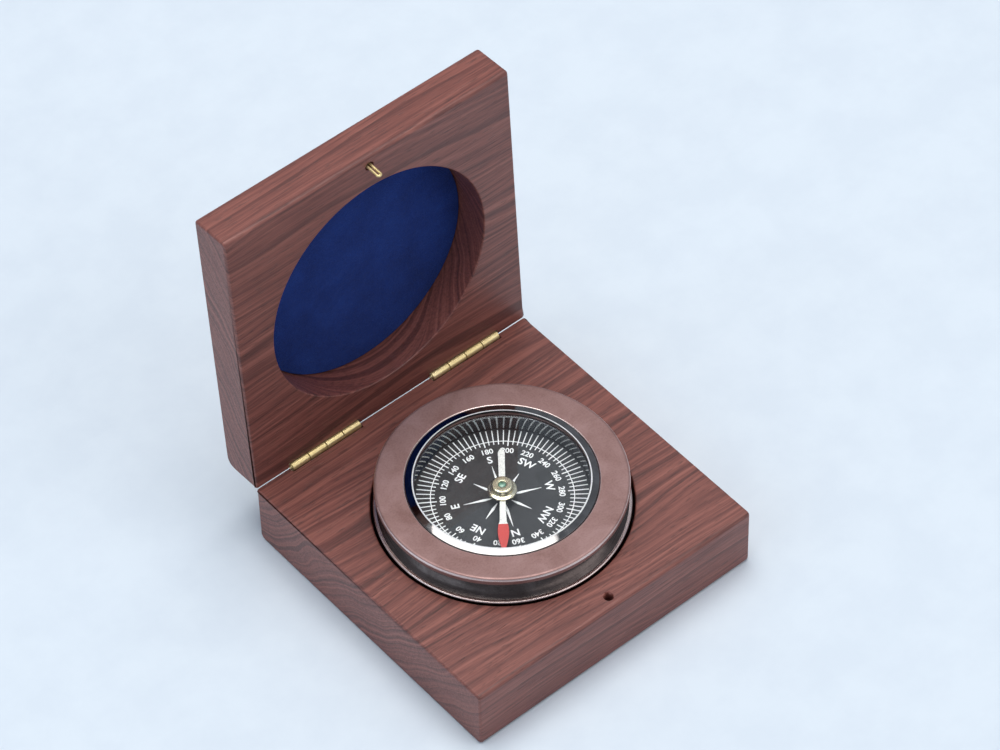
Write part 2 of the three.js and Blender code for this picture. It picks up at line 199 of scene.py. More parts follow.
def wood(name, shift):
    """Dark red-brown hardwood with its grain along X: growth bands, fibres, pores and a satin finish."""
    finish = {"Specular_IOR_Level": 0.45, "Coat_Weight": 0.12, "Coat_Roughness": 0.3}
    material, tree, shader = new_material(name, **finish)
    shifted = node(tree, "VectorMath", {0: object_mm(tree), 1: shift}, operation="ADD").outputs[0]
    warp = fractal(tree, scaled(tree, shifted, (0.25, 1, 1)), 0.03, 2)
    parts = node(tree, "SeparateXYZ", {0: shifted})
    rise = math_node(tree, "MULTIPLY", parts.outputs["Z"], 1.35)
    across = math_node(tree, "ADD", parts.outputs["Y"], rise)
    bent = math_node(tree, "ADD", across, math_node(tree, "MULTIPLY", warp, 26))
    band_inputs = {"W": bent, "Scale": 0.42, "Detail": 3.5, "Roughness": 0.62}
    bands = node(tree, "TexNoise", band_inputs, noise_dimensions="1D").outputs["Fac"]
    along = scaled(tree, shifted, (0.035, 1, 1))
    fibre = fractal(tree, along, 1.6, 6, 0.7, 0.3)
    fine = fractal(tree, along, 5.0, 3, 0.6)
    dashes = scaled(tree, shifted, (0.22, 1.9, 1.9))
    pores = spread(tree, fractal(tree, dashes, 1.0, 2, 0.5), 0.60, 0.70)
    patches = fractal(tree, shifted, 0.035, 3)

    tone = weighted(tree, (bands, 0.52), (fibre, 0.36), (patches, 0.12))
    stops = [
        (0.34, (0.046, 0.014, 0.011)),
        (0.44, (0.118, 0.034, 0.027)),
        (0.53, (0.215, 0.067, 0.050)),
        (0.66, (0.330, 0.118, 0.088)),
    ]
    colour = ramp(tree, tone, stops)
    pore_colour = (0.035, 0.013, 0.011)
    colour = mix(tree, math_node(tree, "MULTIPLY", pores, 0.55), colour, pore_colour)
    fibre_colour = (0.35, 0.135, 0.108)
    colour = mix(tree, spread(tree, fine, 0.3, 0.7, 0.0, 0.22), colour, fibre_colour)
    tree.links.new(colour, shader.inputs["Base Color"])
    tree.links.new(spread(tree, fibre, 0.3, 0.7, 0.52, 0.38), shader.inputs["Roughness"])
    sunk = math_node(tree, "MULTIPLY", pores, 0.6)
    relief = math_node(tree, "SUBTRACT", math_node(tree, "MULTIPLY", fibre, 0.5), sunk)
    bump(tree, shader, relief, 0.09, 0.7)
    return material


def felt(name):
    """Navy felt: matted fibres, uneven dye and a soft sheen."""
    nap = {"Roughness": 0.95, "Specular_IOR_Level": 0.15, "Sheen_Weight": 0.08, "Sheen_Roughness": 0.5}
    material, tree, shader = new_material(name, **nap)
    spot = object_mm(tree)
    fibres = fractal(tree, spot, 2.6, 6, 0.75, 1.2)
    cloud = fractal(tree, spot, 0.07, 3)
    tone = weighted(tree, (fibres, 0.7), (cloud, 0.3))
    stops = [
        (0.35, (0.003, 0.014, 0.085)),
        (0.50, (0.007, 0.030, 0.180)),
        (0.68, (0.016, 0.060, 0.290)),
    ]
    tree.links.new(ramp(tree, tone, stops), shader.inputs["Base Color"])
    bump(tree, shader, fibres, 0.25, 0.8)
    return material


def metal(name, dark, light, tarnish, roughness, turned=True, metallic=1.0):
    """Polished and tarnished metal. A turned one has fine rings round Z."""
    material, tree, shader = new_material(name, Metallic=metallic)
    spot = object_mm(tree)
    cloud = fractal(tree, spot, 0.09, 4, 0.6, 0.4)
    specks = fractal(tree, spot, 1.7, 4, 0.65)
    tone = weighted(tree, (cloud, 0.65), (specks, 0.35))
    colour = ramp(tree, tone, [(0.36, dark), (0.62, light)])
    colour = mix(tree, spread(tree, specks, 0.60, 0.74, 0.0, 0.5), colour, tarnish)
    tree.links.new(colour, shader.inputs["Base Color"])
    if turned:
        flat = scaled(tree, spot, (1, 1, 0))
        radius = node(tree, "VectorMath", {0: flat}, operation="LENGTH").outputs["Value"]
        height = node(tree, "SeparateXYZ", {0: spot}).outputs["Z"]
        across = math_node(tree, "ADD", radius, height)
        line_inputs = {"W": across, "Scale": 9.0, "Detail": 3.0}
        lines = node(tree, "TexNoise", line_inputs, noise_dimensions="1D").outputs["Fac"]
    else:
        lines = fractal(tree, object_mm(tree, (6, 1, 1)), 7.0, 3)
    line_rough = spread(tree, lines, 0.3, 0.7, roughness - 0.05, roughness + 0.06)
    tone_rough = spread(tree, tone, 0.4, 0.6, 0.06, -0.02)
    tree.links.new(math_node(tree, "ADD", line_rough, tone_rough), shader.inputs["Roughness"])
    relief = math_node(tree, "ADD", lines, math_node(tree, "MULTIPLY", specks, 0.6))
    bump(tree, shader, relief, 0.012, 0.25)
    return material


def painted(name, colour, other, roughness, speck=3.0, relief=0.4, **inputs):
    """Paint, enamel or rubber: two near tones in fine specks, with a slight orange-peel."""
    material, tree, shader = new_material(name, **inputs)
    specks = fractal(tree, object_mm(tree), speck, 4, 0.6)
    tree.links.new(ramp(tree, specks, [(0.38, colour), (0.62, other)]), shader.inputs["Base Color"])
    speck_rough = spread(tree, specks, 0.3, 0.7, roughness - 0.04, roughness + 0.06)
    tree.links.new(speck_rough, shader.inputs["Roughness"])
    bump(tree, shader, specks, 0.01, relief)
    return material


def crystal(name):
    """Clear glass that lets the light through to the dial, with faint smears in its gloss."""
    body = {"Transmission_Weight": 1.0, "IOR": 1.46, "Base_Color": (0.97, 0.985, 0.985, 1)}
    material, tree, shader = new_material(name, **body)
    smears = fractal(tree, object_mm(tree), 0.25, 4, 0.6)
    tree.links.new(spread(tree, smears, 0.45, 0.75, 0.0, 0.012), shader.inputs["Roughness"])
    clear = node(tree, "BsdfTransparent", {"Color": (0.96, 0.97, 0.97, 1)})
    shadow = node(tree, "LightPath").outputs["Is Shadow Ray"]
    blend = node(tree, "MixShader", {0: shadow, 1: shader.outputs[0], 2: clear.outputs[0]})
    tree.links.new(blend.outputs[0], tree.nodes["Material Output"].inputs["Surface"])
    return material


BASE_WOOD = wood("base_rosewood", (7, 3, 11))
LID_WOOD = wood("lid_rosewood", (61, -37, 23))
NAVY_FELT = felt("navy_felt")
COPPER = metal(
    "antique_copper", (0.24, 0.128, 0.112), (0.38, 0.230, 0.212), (0.16, 0.075, 0.065), 0.40, metallic=0.5
)
# Pale pinkish copper for the rounded rims: partly real wear, and partly a painted highlight along those
# edges.
WORN_EDGE_AND_HIGHLIGHT = metal("worn_and_highlit_copper_edge", (0.62, 0.47, 0.44), (0.84, 0.70, 0.66), (0.45, 0.28, 0.25), 0.26)
DARK_COPPER = metal(
    "patinated_copper", (0.070, 0.055, 0.051), (0.150, 0.122, 0.115), (0.04, 0.028, 0.025), 0.24
)
BRASS = metal(
    "hinge_brass",
    (0.74, 0.56, 0.24),
    (0.93, 0.77, 0.42),
    (0.45, 0.29, 0.11),
    0.30,
    turned=False,
    metallic=0.75,
)
CAP_BRASS = metal("cap_brass", (0.70, 0.62, 0.42), (0.92, 0.86, 0.66), (0.48, 0.38, 0.20), 0.20)
STEEL = metal("pivot_steel", (0.42, 0.43, 0.44), (0.66, 0.67, 0.68), (0.3, 0.3, 0.3), 0.25)
DARK_WALL = painted("well_wall", (0.28, 0.29, 0.30), (0.34, 0.35, 0.36), 0.07, 0.4, relief=0.01, Metallic=1.0)
RUBBER = painted("gasket_rubber", (0.012, 0.012, 0.012), (0.03, 0.03, 0.03), 0.7)
DIAL_BLACK = painted("dial_black", (0.008, 0.009, 0.011), (0.018, 0.019, 0.023), 0.42, 1.2)
DIAL_WHITE = painted("dial_white", (0.72, 0.73, 0.74), (0.90, 0.90, 0.90), 0.5)
NEEDLE_WHITE = painted("needle_white", (0.70, 0.70, 0.68), (0.86, 0.85, 0.82), 0.3, Metallic=0.3)
NEEDLE_RED = painted("needle_red", (0.42, 0.028, 0.024), (0.56, 0.050, 0.040), 0.35)
JEWEL = painted("green_jewel", (0.07, 0.16, 0.11), (0.18, 0.33, 0.25), 0.08, 0.8, Coat_Weight=1.0)
CRYSTAL = crystal("crystal_glass")
# Dark grey mirror laid on the glass bevel in place of clear glass: painted shade and a painted reflection of
# the dark well.
BEVEL_PAINTED_SHADE = painted(
    "bevel_painted_shade", (0.20, 0.19, 0.185), (0.26, 0.25, 0.245), 0.06, 0.4, relief=0.01, Metallic=1.0
)
# Opaque whitish band for the glass's crown edge: a painted highlight standing in for the bevel's reflection.
GLASS_EDGE_HIGHLIGHT = painted("glass_edge_painted_highlight", (0.62, 0.62, 0.62), (0.84, 0.84, 0.84), 0.4)


# ---- Mesh tools ----


def piece_from(bm, name, material):
    """An object from a bmesh in millimetres, linked to the scene."""
    bmesh.ops.remove_doubles(bm, verts=bm.verts, dist=1e-5)
    bmesh.ops.recalc_face_normals(bm, faces=bm.faces)
    bmesh.ops.scale(bm, vec=(MM, MM, MM), verts=bm.verts)
    mesh = bpy.data.meshes.new(name)
    bm.to_mesh(mesh)
    bm.free()
    mesh.materials.append(material)
    obj = bpy.data.objects.new(name, mesh)
    bpy.context.scene.collection.objects.link(obj)
    return obj


def rounded(points, closed, steps=5):
    """Corner points (a, b) or (a, b, radius): each radius is turned into a smooth arc."""
    out = []
    count = len(points)
    for i, (a, b, *radius) in enumerate(points):
        if not radius or (not closed and i in (0, count - 1)):
            out.append((a, b))
            continue
        corner = Vector((a, b))
        before = (Vector(points[i - 1][:2]) - corner).normalized()
        after = (Vector(points[(i + 1) % count][:2]) - corner).normalized()
        start, end = corner + before * radius[0], corner + after * radius[0]
        for k in range(steps + 1):
            t = k / steps
            out.append(tuple(start * (1 - t) ** 2 + corner * 2 * t * (1 - t) + end * t * t))
    return out


def turned_bmesh(profile, sides=FINE_SIDES, steps=5):
    """Turns a profile of (radius, height[, corner radius]) round Z. One off the axis closes into a ring."""
    ring = profile[0][0] > 0
    points = rounded(profile, ring, steps)
    bm = bmesh.new()
    loops = []
    for radius, height in points:
        if radius <= 1e-9:
            loops.append([bm.verts.new((0, 0, height))])
            continue
        turns = [2 * math.pi * k / sides for k in range(sides)]
        loops.append([bm.verts.new((radius * math.cos(t), radius * math.sin(t), height)) for t in turns])
    pairs = list(zip(loops, loops[1:] + ([loops[0]] if ring else [])))
    for low, high in pairs:
        for k in range(sides):
            n = (k + 1) % sides
            corners = [low[k % len(low)], low[n % len(low)], high[n % len(high)], high[k % len(high)]]
            unique = list(dict.fromkeys(corners))
            if len(unique) > 2:
                bm.faces.new(unique)
    return bm


def turned(name, profile, material, sides=FINE_SIDES, steps=5):
    return piece_from(turned_bmesh(profile, sides, steps), name, material)


def box_bmesh(size, centre, edge=0.0):
    bm = bmesh.new()
    bmesh.ops.create_cube(bm, size=1)
    bmesh.ops.scale(bm, vec=size, verts=bm.verts)
    bmesh.ops.translate(bm, vec=centre, verts=bm.verts)
    if edge:
        bmesh.ops.bevel(bm, geom=list(bm.edges), offset=edge, segments=3, profile=0.5, affect="EDGES")
    return bm


def block(name, outline, length, material):
    """A Y-Z outline extruded along X, with its end edges rounded."""
    points = rounded(outline, True, 6)
    bm = bmesh.new()
    end = bm.faces.new([bm.verts.new((-length / 2, y, z)) for y, z in points])
    swept = bmesh.ops.extrude_face_region(bm, geom=[end])["geom"]
    verts = [v for v in swept if isinstance(v, bmesh.types.BMVert)]
    bmesh.ops.translate(bm, vec=(length, 0, 0), verts=verts)
    ends = [e for e in bm.edges if abs(e.verts[0].co.x - e.verts[1].co.x) < 1e-6]
    bmesh.ops.bevel(bm, geom=ends, offset=END_ROUND, segments=4, profile=0.5, affect="EDGES")
    return piece_from(bm, name, material)


def boolean(obj, others, operation):
    """Cuts or joins other objects into obj, and removes them."""
    for other in others:
        modifier = obj.modifiers.new("boolean", "BOOLEAN")
        modifier.operation = operation
        modifier.solver = "EXACT"
        modifier.object = other
    bpy.context.view_layer.update()
    evaluated = obj.evaluated_get(bpy.context.evaluated_depsgraph_get())
    mesh = bpy.data.meshes.new_from_object(evaluated)
    obj.modifiers.clear()
    obj.data = mesh
    for other in others:
        bpy.data.objects.remove(other)
    return obj


def place(obj, body, nodes=(), matrix=None):
    """Smooths the piece, puts it in the row frame, and ties it to its body and CAD nodes."""
    obj.data.shade_smooth()
    obj.data.set_sharp_from_angle(angle=SMOOTH_ANGLE)
    modifier = obj.modifiers.new("weighted_normals", "WEIGHTED_NORMAL")
    modifier.keep_sharp = True
    if matrix is not None:
        obj.matrix_world = matrix
    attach(obj, body)
    if nodes:
        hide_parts(*nodes)
    return obj


def moved(obj, x, y, z):
    obj.data.transform(Matrix.Translation(Vector((x, y, z)) * MM))
    return obj


def spun(obj, degrees, axis):
    obj.data.transform(Matrix.Rotation(math.radians(degrees), 4, axis))
    return obj


# ---- Wooden blocks ----

HINGE_LENGTH = 25.4
BARREL = 1.45
LEAF_EDGE = BARREL + 0.35
hinge_boxes = {side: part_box(f"{side}_hinge_pin") for side in ("left", "right")}
hinge_centres = {side: (low.x + high.x) / 2 / MM for side, (low, high) in hinge_boxes.items()}


def barrel_notches():
    """Cutters for the rounded notches that the hinge barrels lie in."""
    half = HINGE_LENGTH / 2 + 0.4
    profile = [(0, -half), (LEAF_EDGE, -half), (LEAF_EDGE, half), (0, half)]
    notches = [spun(turned("cutter", profile, BASE_WOOD, SMALL_SIDES), 90, "Y") for _ in hinge_centres]
    return [moved(notch, x, AXIS_Y, AXIS_Z) for notch, x in zip(notches, hinge_centres.values())]


def recess_cutter(radius, floor, mouth, outwards):
    """A turned recess with a slightly rounded lip. outwards is +1 for a mouth that looks up, -1 for down."""
    lip = RECESS_LIP
    beyond = mouth + outwards * 2
    inner = mouth - outwards * lip
    arc = [
        (radius + lip - lip * math.cos(a), inner + outwards * lip * math.sin(a))
        for a in (math.radians(d) for d in (0, 22, 45, 68, 90))
    ]
    profile = [(0, floor), (radius, floor, 0.4), *arc, (radius + lip, beyond), (0, beyond)]
    return turned("cutter", profile, BASE_WOOD)


def worn_hole(radius, chip, mouth, outwards, depth, y, seed):
    """A small drilled hole whose mouth is chipped by hand tools and use."""
    mouth_edge = radius + chip
    profile = [(0, -depth), (radius, -depth), (radius, -0.6), (mouth_edge, 0), (mouth_edge, 2), (0, 2)]
    bm = turned_bmesh(profile, 32)
    for vert in bm.verts:
        if vert.co.z > -0.7:
            ragged = noise.noise(Vector((vert.co.x, vert.co.y, seed)) * 0.9) * chip
            vert.co.xy *= 1 + ragged / radius
    bmesh.ops.scale(bm, vec=(1, 1, outwards), verts=bm.verts)
    bmesh.ops.translate(bm, vec=(0, y, mouth), verts=bm.verts)
    return piece_from(bm, "cutter", BASE_WOOD)


base_outline = [
    (-HALF_DEPTH, 0, LONG_ROUND),
    (HALF_DEPTH, 0, 2.5),
    (HALF_DEPTH, BASE_TOP, BACK_ROUND),
    (-HALF_DEPTH, BASE_TOP, LONG_ROUND),
]
CATCH_Y = -HALF_DEPTH + 3.5
base_floor = BODY_BOTTOM - FELT - 0.2
base_block = block("base_block_wood", base_outline, WIDTH, BASE_WOOD)
base_cuts = [
    recess_cutter(BASE_RECESS_RADIUS, base_floor, BASE_TOP, 1),
    worn_hole(1.3, 0.35, BASE_TOP, 1, 7, CATCH_Y + 0.3, 3.7),
    *barrel_notches(),
]
place(boolean(base_block, base_cuts, "DIFFERENCE"), "base", ["base_block"])

lid_outline = [
    (-HALF_DEPTH, LID_INSIDE, LONG_ROUND),
    (HALF_DEPTH, LID_INSIDE, BACK_ROUND),
    (HALF_DEPTH, LID_OUTSIDE, 4),
    (-HALF_DEPTH, LID_OUTSIDE, LONG_ROUND),
]
lid_floor = LID_INSIDE + LID_RECESS_DEPTH
lid_block = block("lid_block_wood", lid_outline, WIDTH, LID_WOOD)
lid_cuts = [
    recess_cutter(LID_RECESS_RADIUS, lid_floor, LID_INSIDE, -1),
    worn_hole(1.35, 0.15, LID_INSIDE, -1, 4.6, CATCH_Y, 8.1),
    *barrel_notches(),
]
place(boolean(lid_block, lid_cuts, "DIFFERENCE"), "lid", ["lid_block"], LID_OPEN)


# ---- Felts ----


def felt_disc(name, radius, bottom, top, shown_up):
    """A felt disc with a soft edge and a slightly uneven nap on the side that shows."""
    rings = [radius * k / 22 for k in range(21, 0, -1)]
    shown, hidden = (top, bottom) if shown_up else (bottom, top)
    napped = [(ring, shown) for ring in rings]
    profile = [(0, hidden), (radius, hidden), (radius, shown, 0.35), *napped, (0, shown)]
    bm = turned_bmesh(profile, FINE_SIDES)
    inwards = -1 if shown_up else 1
    for vert in bm.verts:
        if abs(vert.co.z - shown) < 0.05:
            nap = noise.fractal(vert.co * 0.35, 0.8, 2.0, 3)
            vert.co.z += inwards * 0.08 * abs(nap)
    return piece_from(bm, name, NAVY_FELT)


lid_felt_radius = LID_RECESS_RADIUS - 0.3
lid_felt = felt_disc("lid_felt_disc", lid_felt_radius, lid_floor - 0.1 - FELT, lid_floor - 0.1, False)
place(lid_felt, "lid", ["lid_felt"], LID_OPEN)

base_felt_radius = BASE_RECESS_RADIUS - 0.3
base_felt = felt_disc("base_felt_disc", base_felt_radius, base_floor + 0.1, base_floor + 0.1 + FELT, True)
place(base_felt, "base", ["base_recess_felt"])


# ---- Hinges and catch ----

KNUCKLES = 4
KNUCKLE_GAP = 0.15
BORE, PIN = 0.9, 0.8
LEAF_THICKNESS, LEAF_WIDTH = 0.8, 6.8
leaf_inner = HALF_DEPTH - AXIS_Y + 0.1
leaf_middle = leaf_inner + LEAF_THICKNESS / 2
leaf_outer = leaf_inner + LEAF_THICKNESS
screw_height = LEAF_EDGE + LEAF_WIDTH / 2
SCREW_OFFSETS = (-8, 8)
SCREW_HEAD = 1.65


def screw_seat(x, side):
    """Cutter for a countersunk screw hole in a leaf."""
    rim = SCREW_HEAD + 0.15
    profile = [
        (0, leaf_inner - 1),
        (1.05, leaf_inner - 1),
        (1.05, leaf_inner),
        (rim, leaf_outer),
        (rim, leaf_outer + 1),
        (0, leaf_outer + 1),
    ]
    return moved(spun(turned("cutter", profile, BRASS, SMALL_SIDES), -90, "X"), x, 0, side * screw_height)


def hinge_leaf(name, side, first_knuckle):
    """One leaf with its knuckles, its barrel along X through the origin. It hangs down for side -1."""
    pitch = HINGE_LENGTH / KNUCKLES
    half = (pitch - KNUCKLE_GAP) / 2
    plate = box_bmesh((HINGE_LENGTH, LEAF_THICKNESS, LEAF_WIDTH), (0, leaf_middle, side * screw_height), 0.15)
    leaf = piece_from(plate, name, BRASS)
    pieces = []
    for i in range(first_knuckle, KNUCKLES, 2):
        x = (i + 0.5) * pitch - HINGE_LENGTH / 2
        ring = [(BORE, -half), (BARREL, -half, 0.22), (BARREL, half, 0.22), (BORE, half)]
        pieces.append(moved(spun(turned("knuckle", ring, BRASS, SMALL_SIDES), 90, "Y"), x, 0, 0))
        tab = LEAF_EDGE - BORE + 0.35
        tab_size = (2 * half - 0.02, LEAF_THICKNESS - 0.02, tab)
        tab_centre = (x, leaf_middle, side * (BORE + 0.15 + tab / 2))
        pieces.append(piece_from(box_bmesh(tab_size, tab_centre), "tab", BRASS))
    boolean(leaf, pieces, "UNION")
    bore = spun(turned("cutter", [(0, -20), (BORE, -20), (BORE, 20), (0, 20)], BRASS, SMALL_SIDES), 90, "Y")
    return boolean(leaf, [bore, *[screw_seat(x, side) for x in SCREW_OFFSETS]], "DIFFERENCE")


def hinge_pin(name):
    half = HINGE_LENGTH / 2 + 0.25
    profile = [(0, -half), (PIN, -half, 0.3), (PIN, half, 0.3), (0, half)]
    return spun(turned(name, profile, BRASS, SMALL_SIDES), 90, "Y")


def hinge_screw(name, turn):
    """A slotted countersunk screw looking out along +Y, its slot turned by hand to its own angle."""
    face = leaf_outer
    profile = [
        (0, face - 5.2),
        (0.8, face - 4.0),
        (0.8, face - 0.75),
        (SCREW_HEAD, face - 0.08, 0.06),
        (SCREW_HEAD - 0.1, face),
        (0, face),
    ]
    screw = turned(name, profile, BRASS, SMALL_SIDES)
    slot = piece_from(box_bmesh((2 * SCREW_HEAD + 1, 0.45, 0.8), (0, 0, face)), "cutter", BRASS)
    boolean(screw, [slot], "DIFFERENCE")
    return spun(spun(screw, turn, "Z"), -90, "X")


for side_name, x in hinge_centres.items():
    base_leaf = moved(hinge_leaf(f"{side_name}_base_leaf_brass", -1, 0), x, AXIS_Y, AXIS_Z)
    place(base_leaf, "base", [f"{side_name}_hinge_base_leaf"])
    pin = moved(hinge_pin(f"{side_name}_pin_brass"), x, AXIS_Y, AXIS_Z)
    place(pin, "base", [f"{side_name}_hinge_pin"])
    lid_leaf = moved(hinge_leaf(f"{side_name}_lid_leaf_brass", 1, 1), x, AXIS_Y, AXIS_Z)
    place(lid_leaf, "lid", [f"{side_name}_hinge_lid_leaf"], LID_OPEN)
    for i, offset in enumerate(SCREW_OFFSETS, 1):
        turn = 37 * i + x
        base_screw = hinge_screw(f"{side_name}_base_screw_{i}_brass", turn)
        moved(base_screw, x + offset, AXIS_Y, AXIS_Z - screw_height)
        place(base_screw, "base", [f"{side_name}_hinge_base_screw_{i}"])
        lid_screw = hinge_screw(f"{side_name}_lid_screw_{i}_brass", turn + 71)
        moved(lid_screw, x + offset, AXIS_Y, AXIS_Z + screw_height)
        place(lid_screw, "lid", [f"{side_name}_hinge_lid_screw_{i}"], LID_OPEN)


def hairpin(name):
    """A hairpin of round brass wire: two legs and a tight bend, leaning a little towards the recess."""
    spread_half, reach, root, wire = 0.6, 5.0, 4.0, 0.4
    bend = spread_half + wire - reach
    route = [(-spread_half, root), (-spread_half, 0), (-spread_half, bend)]
    turns = [math.radians(180 + 18 * k) for k in range(1, 10)]
    route += [(spread_half * math.cos(a), bend + spread_half * math.sin(a)) for a in turns]
    route += [(spread_half, bend), (spread_half, 0), (spread_half, root)]
    curve = bpy.data.curves.new(name, "CURVE")
    curve.dimensions = "3D"
    curve.bevel_depth = wire * MM
    curve.bevel_resolution = 6
    curve.use_fill_caps = True
    spline = curve.splines.new("POLY")
    spline.points.add(len(route) - 1)
    for point, (x, z) in zip(spline.points, route):
        point.co = (x * MM, 0, z * MM, 1)
    wire_object = bpy.data.objects.new("wire", curve)
    bpy.context.scene.collection.objects.link(wire_object)
    bpy.context.view_layer.update()
    evaluated = wire_object.evaluated_get(bpy.context.evaluated_depsgraph_get())
    mesh = bpy.data.meshes.new_from_object(evaluated)
    bpy.data.objects.remove(wire_object)
    mesh.materials.clear()
    mesh.materials.append(BRASS)
    obj = bpy.data.objects.new(name, mesh)
    bpy.context.scene.collection.objects.link(obj)
    return obj


catch = hairpin("catch_hairpin_brass")
spun(catch, math.degrees(0.09), "X")
moved(catch, 0, CATCH_Y, LID_INSIDE)
place(catch, "lid", ["catch_hairpin"], LID_OPEN)


# ---- Compass case ----



def finish_ring(obj, material, inner, outer, low):
    """Gives another material to the faces between two radii of a turned piece that lie above a height; here
    it lays painted highlights (partly real wear) and painted shade.
    """
    obj.data.materials.append(material)
    slot = len(obj.data.materials) - 1
    for face in obj.data.polygons:
        out = math.hypot(*face.center.xy) / MM
        if inner < out < outer and face.center.z / MM > low:
            face.material_index = slot


SHOULDER = BASE_TOP + 0.2
RIM_BOTTOM = BEZEL_TOP - 2.2
WEB_BOTTOM, WEB_TOP = 20.4, 21.9
COVER_TOP = BODY_BOTTOM + 1.6
LEDGE_BOTTOM, LEDGE_TOP = BODY_TOP + 0.15, BODY_TOP + 0.7

body_profile = [
    (1.3, WEB_BOTTOM),
    (34.2, WEB_BOTTOM, 0.8),
    (34.2, COVER_TOP + 0.1),
    (35.8, COVER_TOP + 0.1),
    (35.8, BODY_BOTTOM),
    (DRUM_RADIUS, BODY_BOTTOM, 0.6),
    (DRUM_RADIUS, SHOULDER, 0.5),
    (36.4, SHOULDER + 0.05, 0.3),
    (33.9, SHOULDER + 1.3, 1.4),
    (NECK_RADIUS, SHOULDER + 3.8, 1.2),
    (NECK_RADIUS, BEZEL_BOTTOM - 0.1),
    (NECK_RADIUS - 1, BEZEL_BOTTOM - 0.1),
    (NECK_RADIUS - 1, BODY_TOP),
    (WELL_RADIUS, BODY_TOP),
    (WELL_RADIUS, WEB_TOP),
    (1.3, WEB_TOP),
]
body = turned("compass_body_copper", body_profile, DARK_COPPER)
# The drum's top rim gets a pale band: wear plus a painted highlight.
finish_ring(body, WORN_EDGE_AND_HIGHLIGHT, 36.5, DRUM_RADIUS + 1, SHOULDER - 0.45)
place(body, "compass", ["compass_body"])

bezel_profile = [
    (NECK_RADIUS - 0.7, BEZEL_BOTTOM),
    (NECK_RADIUS - 0.7, LEDGE_BOTTOM),
    (WELL_RADIUS, LEDGE_BOTTOM),
    (WELL_RADIUS, LEDGE_TOP),
    (GLASS_RADIUS + 0.2, LEDGE_TOP),
    (GLASS_RADIUS + 0.2, BEZEL_TOP, 0.25),
    (FLANGE_RADIUS, BEZEL_TOP, 1.1),
    (FLANGE_RADIUS, RIM_BOTTOM, 0.4),
    (NECK_RADIUS + 1, BEZEL_BOTTOM, 0.2),
]
bezel = turned("bezel_ring_copper", bezel_profile, COPPER, steps=8)
# The bezel's inner lip and outer rounding get pale bands: wear plus painted highlights.
finish_ring(bezel, WORN_EDGE_AND_HIGHLIGHT, GLASS_RADIUS + 0.1, GLASS_RADIUS + 0.45, BEZEL_TOP - 0.5)
finish_ring(bezel, WORN_EDGE_AND_HIGHLIGHT, FLANGE_RADIUS - 0.33, FLANGE_RADIUS - 0.03, BEZEL_TOP - 1)
place(bezel, "compass", ["bezel_ring"])

CROWN_RADIUS = 25.5
glass_profile = [
    (0, glass_low.z),
    (GLASS_RADIUS, glass_low.z, 0.1),
    (GLASS_RADIUS, BEZEL_TOP, 0.1),
    (CROWN_RADIUS + 0.4, glass_high.z - 0.08),
    (CROWN_RADIUS, glass_high.z),
    (0, glass_high.z),
]
glass = turned("glass_crystal_clear", glass_profile, CRYSTAL)
# The bevel carries painted shade, and the crown edge below carries a painted highlight.
finish_ring(glass, BEVEL_PAINTED_SHADE, CROWN_RADIUS + 0.4, GLASS_RADIUS + 1, BEZEL_TOP - 0.2)
finish_ring(glass, GLASS_EDGE_HIGHLIGHT, CROWN_RADIUS, CROWN_RADIUS + 0.4, BEZEL_TOP)
place(glass, "compass", ["glass_crystal"])

gasket_profile = [
    (WELL_RADIUS + 0.2, LEDGE_TOP + 0.05, 0.08),
    (GLASS_RADIUS, LEDGE_TOP + 0.05, 0.08),
    (GLASS_RADIUS, glass_low.z - 0.1, 0.08),
    (WELL_RADIUS + 0.2, glass_low.z - 0.1, 0.08),
]
place(turned("crystal_gasket_rubber", gasket_profile, RUBBER), "compass", ["crystal_gasket"])

wall_outer, wall_inner = WELL_RADIUS - 0.15, WELL_RADIUS - 0.6
wall_profile = [
    (wall_inner, DIAL_TOP + 0.1, 0.1),
    (wall_outer, DIAL_TOP + 0.1),
    (wall_outer, BODY_TOP),
    (wall_inner, BODY_TOP, 0.15),
]
place(turned("spacer_ring_dark", wall_profile, DARK_WALL), "compass", ["spacer_ring"])

cover_profile = [
    (0, BODY_BOTTOM + 0.5),
    (30, BODY_BOTTOM + 0.5, 0.6),
    (31.2, BODY_BOTTOM + 0.2, 0.6),
    (35.5, BODY_BOTTOM + 0.2, 0.3),
    (35.5, COVER_TOP),
    (0, COVER_TOP),
]
place(turned("bottom_cover_copper", cover_profile, COPPER), "compass", ["bottom_cover"])


# ---- Dial ----

dial_profile = [(1.3, WEB_TOP + 0.1), (wall_outer, WEB_TOP + 0.1), (wall_outer, DIAL_TOP), (1.3, DIAL_TOP)]
place(turned("dial_card_black", dial_profile, DIAL_BLACK), "compass", ["dial_card"])

PRINT_HEIGHT = 0.04
CIRCLE_RADIUS = 20.7


def bearing_turn(bearing):
    """Turns a drawing whose top looks along +Y until it looks along this bearing of the dial."""
    return Matrix.Rotation(DIAL_NORTH - math.pi / 2 - math.radians(bearing), 4, "Z")


def add_flat(bm, outline, turn):
    """Prints a flat outline of (across, outwards) points, turned to its bearing."""
    low = [bm.verts.new(turn @ Vector((x, y, DIAL_TOP))) for x, y in outline]
    face = bm.faces.new(low)
    raised = bmesh.ops.extrude_face_region(bm, geom=[face])["geom"]
    verts = [v for v in raised if isinstance(v, bmesh.types.BMVert)]
    bmesh.ops.translate(bm, vec=(0, 0, PRINT_HEIGHT), verts=verts)


